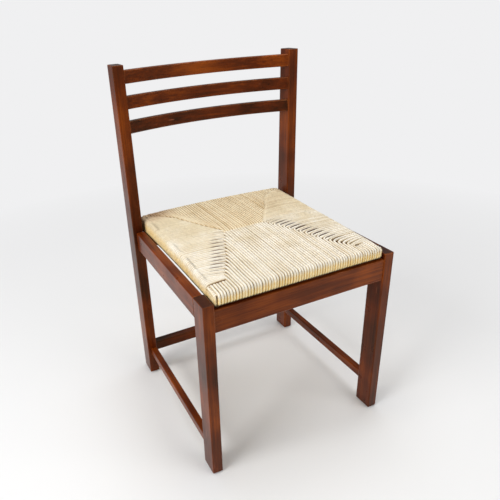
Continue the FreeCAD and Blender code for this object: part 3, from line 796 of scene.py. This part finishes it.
def twistedRush():
    material, tree, shader = startMaterial("twistedRush")
    spot = addNode(tree, "ShaderNodeTexCoord").outputs["Object"]
    strand = addNode(tree, "ShaderNodeUVMap", uv_map="strand").outputs[0]
    marks = addNode(tree, "ShaderNodeSeparateColor")
    toneMarks = addNode(tree, "ShaderNodeVertexColor", layer_name="strandToneAndShade")
    connect(tree, toneMarks.outputs["Color"], marks.inputs[0])
    # the third channel marks the edge roll, which gets painted bounce light
    tone, rear, edge = marks.outputs[:3]
    split = addNode(tree, "ShaderNodeSeparateXYZ")
    connect(tree, strand, split.inputs[0])
    around, along = split.outputs[0], split.outputs[1]

    # fibres lie on a slant round each strand
    slant = calc(tree, "MULTIPLY_ADD", along, rushLook["twist"], around)
    twist = addNode(tree, "ShaderNodeCombineXYZ")
    connect(tree, calc(tree, "MULTIPLY", slant, 13.0), twist.inputs[0])
    connect(tree, calc(tree, "MULTIPLY", along, 45.0), twist.inputs[1])
    connect(tree, calc(tree, "MULTIPLY", tone, 9.0), twist.inputs[2])
    fibres = noise(tree, twist.outputs[0], 1.5, 4.0, 0.65)
    plies = calc(tree, "SINE", calc(tree, "MULTIPLY", slant, 2 * math.pi * 2))
    fine = addNode(tree, "ShaderNodeCombineXYZ")
    connect(tree, calc(tree, "MULTIPLY", slant, 30.0), fine.inputs[0])
    connect(tree, calc(tree, "MULTIPLY", along, 150.0), fine.inputs[1])
    connect(tree, calc(tree, "MULTIPLY", tone, 17.0), fine.inputs[2])
    flecks = noise(tree, fine.outputs[0], 1.3, 3.0, 0.7)
    patches = noise(tree, spot, 15.0, 3.0, 0.6)

    # each strand is pale along its top as a painted highlight, darker down its body, and brown on its flanks
    # as painted shade between neighbouring strands
    where = addNode(tree, "ShaderNodeSeparateXYZ")
    connect(tree, spot, where.inputs[0])
    inward = calc(tree, "MULTIPLY_ADD", patches, 2.4, -0.70)
    inward = calc(tree, "MULTIPLY_ADD", where.outputs[1], 5.0, inward)
    strawShare = calc(tree, "MULTIPLY", ramp(tree, inward, (0.1, 0.0), (1.0, 1.0)), 0.75)
    crestHighlight = blendColour(tree, strawShare, rushLook["crestHighlight"], rushLook["straw"])
    crestHighlight = blendColour(tree, rear, crestHighlight, rushLook["rearCrestHighlight"])
    crestHighlight = blendColour(tree, edge, crestHighlight, rushLook["edgeCrestBounceLight"])
    body = blendColour(tree, rear, rushLook["body"], rushLook["rearBody"])
    body = blendColour(tree, edge, body, rushLook["edgeBodyBounceLight"])
    side = calc(tree, "ABSOLUTE", calc(tree, "SUBTRACT", calc(tree, "FRACT", around), 0.5))
    ragged = calc(tree, "MULTIPLY_ADD", fibres, 0.16, calc(tree, "SUBTRACT", side, 0.08))
    wander = calc(tree, "MULTIPLY_ADD", patches, 0.26, calc(tree, "MULTIPLY_ADD", tone, 0.12, -0.19))
    ragged = calc(tree, "ADD", ragged, wander)
    base = blendColour(tree, ramp(tree, ragged, (0.05, 0.0), (0.17, 1.0)), crestHighlight, body)
    flankShade = blendColour(tree, edge, rushLook["flankShade"], rushLook["edgeFlankBounceShade"])
    base = blendColour(tree, ramp(tree, ragged, (0.19, 0.0), (0.29, 1.0)), base, flankShade)
    base = blendColour(tree, 1.0, base, ramp(tree, fibres, (0.34, 0.80), (0.56, 1.0)), "MULTIPLY")
    base = blendColour(tree, ramp(tree, flecks, (0.55, 0.0), (0.74, 0.6)), base, rushLook["brown"])

    # a brown patch near the left rear corner
    corner = addNode(tree, "ShaderNodeVectorMath", operation="DISTANCE")
    connect(tree, spot, corner.inputs[0])
    corner.inputs[1].default_value = rushLook["brownPatchPlace"]
    brownPatch = calc(tree, "ADD", corner.outputs["Value"], calc(tree, "MULTIPLY_ADD", flecks, 0.06, -0.03))
    base = blendColour(tree, ramp(tree, brownPatch, (0.005, 0.7), (0.065, 0.0)), base, rushLook["brown"])

    # painted shade: dark in the slots, and where the edge rolls under on to the rails
    slotShadeMask = calc(tree, "SUBTRACT", 1.0, toneMarks.outputs["Alpha"])
    base = blendColour(tree, slotShadeMask, base, rushLook["slotPaintedShade"])
    # the lowest millimetres near the rim get the painted shade
    low = calc(tree, "MULTIPLY_ADD", where.outputs[2], -1 / mm, seatForm["bottom"] + rushLook["rimShade"])
    low = ramp(tree, calc(tree, "MULTIPLY", low, 0.25), (0.0, 0.0), (1.0, 0.92))
    outX = calc(tree, "MULTIPLY", calc(tree, "ABSOLUTE", where.outputs[0]), 1 / mm / seatForm["frontHalf"])
    outY = calc(tree, "MULTIPLY", calc(tree, "ABSOLUTE", where.outputs[1]), -1 / mm / seatForm["front"])
    rim = ramp(tree, calc(tree, "MAXIMUM", outX, outY), (0.925, 0.0), (0.955, 1.0))
    base = blendColour(tree, calc(tree, "MULTIPLY", low, rim), base, rushLook["under"])
    connect(tree, base, shader.inputs["Base Color"])
    connect(tree, calc(tree, "MULTIPLY_ADD", fibres, 0.25, 0.55), shader.inputs["Roughness"])
    shine = calc(tree, "MULTIPLY", toneMarks.outputs["Alpha"], 0.3)
    connect(tree, shine, shader.inputs["Specular IOR Level"])
    bumps(tree, shader, (plies, 0.35, 0.0008), (fibres, 0.9, 0.0010), (flecks, 0.4, 0.0004))
    return material


def packedRush():
    material, tree, shader = startMaterial("packedRush")
    spot = addNode(tree, "ShaderNodeTexCoord").outputs["Object"]
    bits = noise(tree, spot, 240.0, 5.0, 0.7)
    # darker than the strands: painted shade in the gaps between them
    shades = ramp(tree, bits, (0.35, rushLook["packedDark"]), (0.75, rushLook["packedLight"]))
    connect(tree, shades, shader.inputs["Base Color"])
    connect(tree, calc(tree, "MULTIPLY_ADD", bits, 0.15, 0.8), shader.inputs["Roughness"])
    bumps(tree, shader, (bits, 0.8, 0.002))
    return material


seatPiece.data.materials.append(twistedRush())
stuffingPiece.data.materials.append(packedRush())
for piece in (seatPiece, stuffingPiece):
    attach(piece, "seat")
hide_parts("rush_seat")
print("rush: finished and on the seat")


# floor, light and camera

room = {
    "floorReach": 9.0,
    "floorDrop": 0.0005,
    "floorColour": colour(240, 240, 240),
    "backColour": colour(240, 240, 241),
    "fadeStart": 0.45,
    "fadeEnd": 1.9,
    "skyLight": 0.32,
    "lampAim": (0, 0, 0.4),
}


def paleFloor():
    # a large round floor that fades into the backdrop away from the chair, and keeps its shadow
    mesh = bpy.data.meshes.new("floor")
    rim = []
    for turn in range(0, 360, 5):
        x, y = (room["floorReach"] * part(math.radians(turn)) for part in (math.cos, math.sin))
        rim.append((x, y, -room["floorDrop"]))
    mesh.from_pydata(rim, [], [tuple(range(len(rim)))])
    floor = bpy.data.objects.new("floor", mesh)
    bpy.context.scene.collection.objects.link(floor)
    material, tree, shader = startMaterial("paleFloor")
    shader.inputs["Base Color"].default_value = room["floorColour"]
    shader.inputs["Roughness"].default_value = 0.6
    shader.inputs["Specular IOR Level"].default_value = 0.2
    place = addNode(tree, "ShaderNodeTexCoord").outputs["Object"]
    away = addNode(tree, "ShaderNodeVectorMath", operation="LENGTH")
    connect(tree, place, away.inputs[0])
    span = room["fadeEnd"] - room["fadeStart"]
    fade = calc(tree, "MULTIPLY_ADD", away.outputs["Value"], 1 / span, -room["fadeStart"] / span, clamp=True)
    glow = addNode(tree, "ShaderNodeEmission")
    glow.inputs["Color"].default_value = room["backColour"]
    seen = addNode(tree, "ShaderNodeLightPath").outputs["Is Camera Ray"]
    joined = addNode(tree, "ShaderNodeMixShader")
    connect(tree, calc(tree, "MULTIPLY", fade, seen), joined.inputs[0])
    connect(tree, shader.outputs[0], joined.inputs[1])
    connect(tree, glow.outputs[0], joined.inputs[2])
    connect(tree, joined.outputs[0], tree.nodes["Material Output"].inputs["Surface"])
    mesh.materials.append(material)
    return floor


paleFloor()

world = bpy.data.worlds.new("softSky")
bpy.context.scene.world = world
world.use_nodes = True
sky = world.node_tree
skyLight = sky.nodes["Background"]
skyLight.inputs["Color"].default_value = (1, 1, 1, 1)
skyLight.inputs["Strength"].default_value = room["skyLight"]
backdrop = addNode(sky, "ShaderNodeBackground")
backdrop.inputs["Color"].default_value = room["backColour"]
rays = addNode(sky, "ShaderNodeLightPath")
choice = addNode(sky, "ShaderNodeMixShader")
connect(sky, rays.outputs["Is Camera Ray"], choice.inputs[0])
connect(sky, skyLight.outputs[0], choice.inputs[1])
connect(sky, backdrop.outputs[0], choice.inputs[2])
connect(sky, choice.outputs[0], sky.nodes["World Output"].inputs["Surface"])

lamps = {
    "keyLamp": {"place": (-2.9, -0.6, 1.9), "size": 1.8, "power": 76.0},
    "fillLamp": {"place": (1.6, -2.4, 1.8), "size": 2.0, "power": 27.0},
    "topLamp": {"place": (0.3, 0.4, 3.2), "size": 2.4, "power": 45.0},
}
for name, look in lamps.items():
    light = bpy.data.lights.new(name, "AREA")
    light.shape = "SQUARE"
    light.size = look["size"]
    light.energy = look["power"]
    lamp = bpy.data.objects.new(name, light)
    lamp.location = look["place"]
    aim = Vector(room["lampAim"]) - lamp.location
    lamp.rotation_mode = "QUATERNION"
    lamp.rotation_quaternion = aim.to_track_quat("-Z", "Y")
    bpy.context.scene.collection.objects.link(lamp)

viewpoint = {
    "place": (-0.51778, -0.93099, 0.92076),
    "turn": 23.928,
    "down": 26.106,
    "roll": 3.118,
    "lens": 36.0,
    "shift": (0.0774, 0.0033),
}


def makeCamera():
    turn, tilt, roll = (math.radians(viewpoint[key]) for key in ("turn", "down", "roll"))
    forward = Vector((math.sin(turn) * math.cos(tilt), math.cos(turn) * math.cos(tilt), -math.sin(tilt)))
    right = Vector((math.cos(turn), -math.sin(turn), 0))
    below = forward.cross(right)
    across = right * math.cos(roll) + below * math.sin(roll)
    under = below * math.cos(roll) - right * math.sin(roll)
    data = bpy.data.cameras.new("camera")
    data.lens = viewpoint["lens"]
    data.sensor_width = 36.0
    data.shift_x, data.shift_y = viewpoint["shift"]
    camera = bpy.data.objects.new("camera", data)
    axes = Matrix((across, -under, -forward)).transposed().to_4x4()
    camera.matrix_world = Matrix.Translation(viewpoint["place"]) @ axes
    bpy.context.scene.collection.objects.link(camera)
    bpy.context.scene.camera = camera


makeCamera()
bpy.context.scene.view_settings.view_transform = "Standard"
print("camera, lamps and floor: ready")
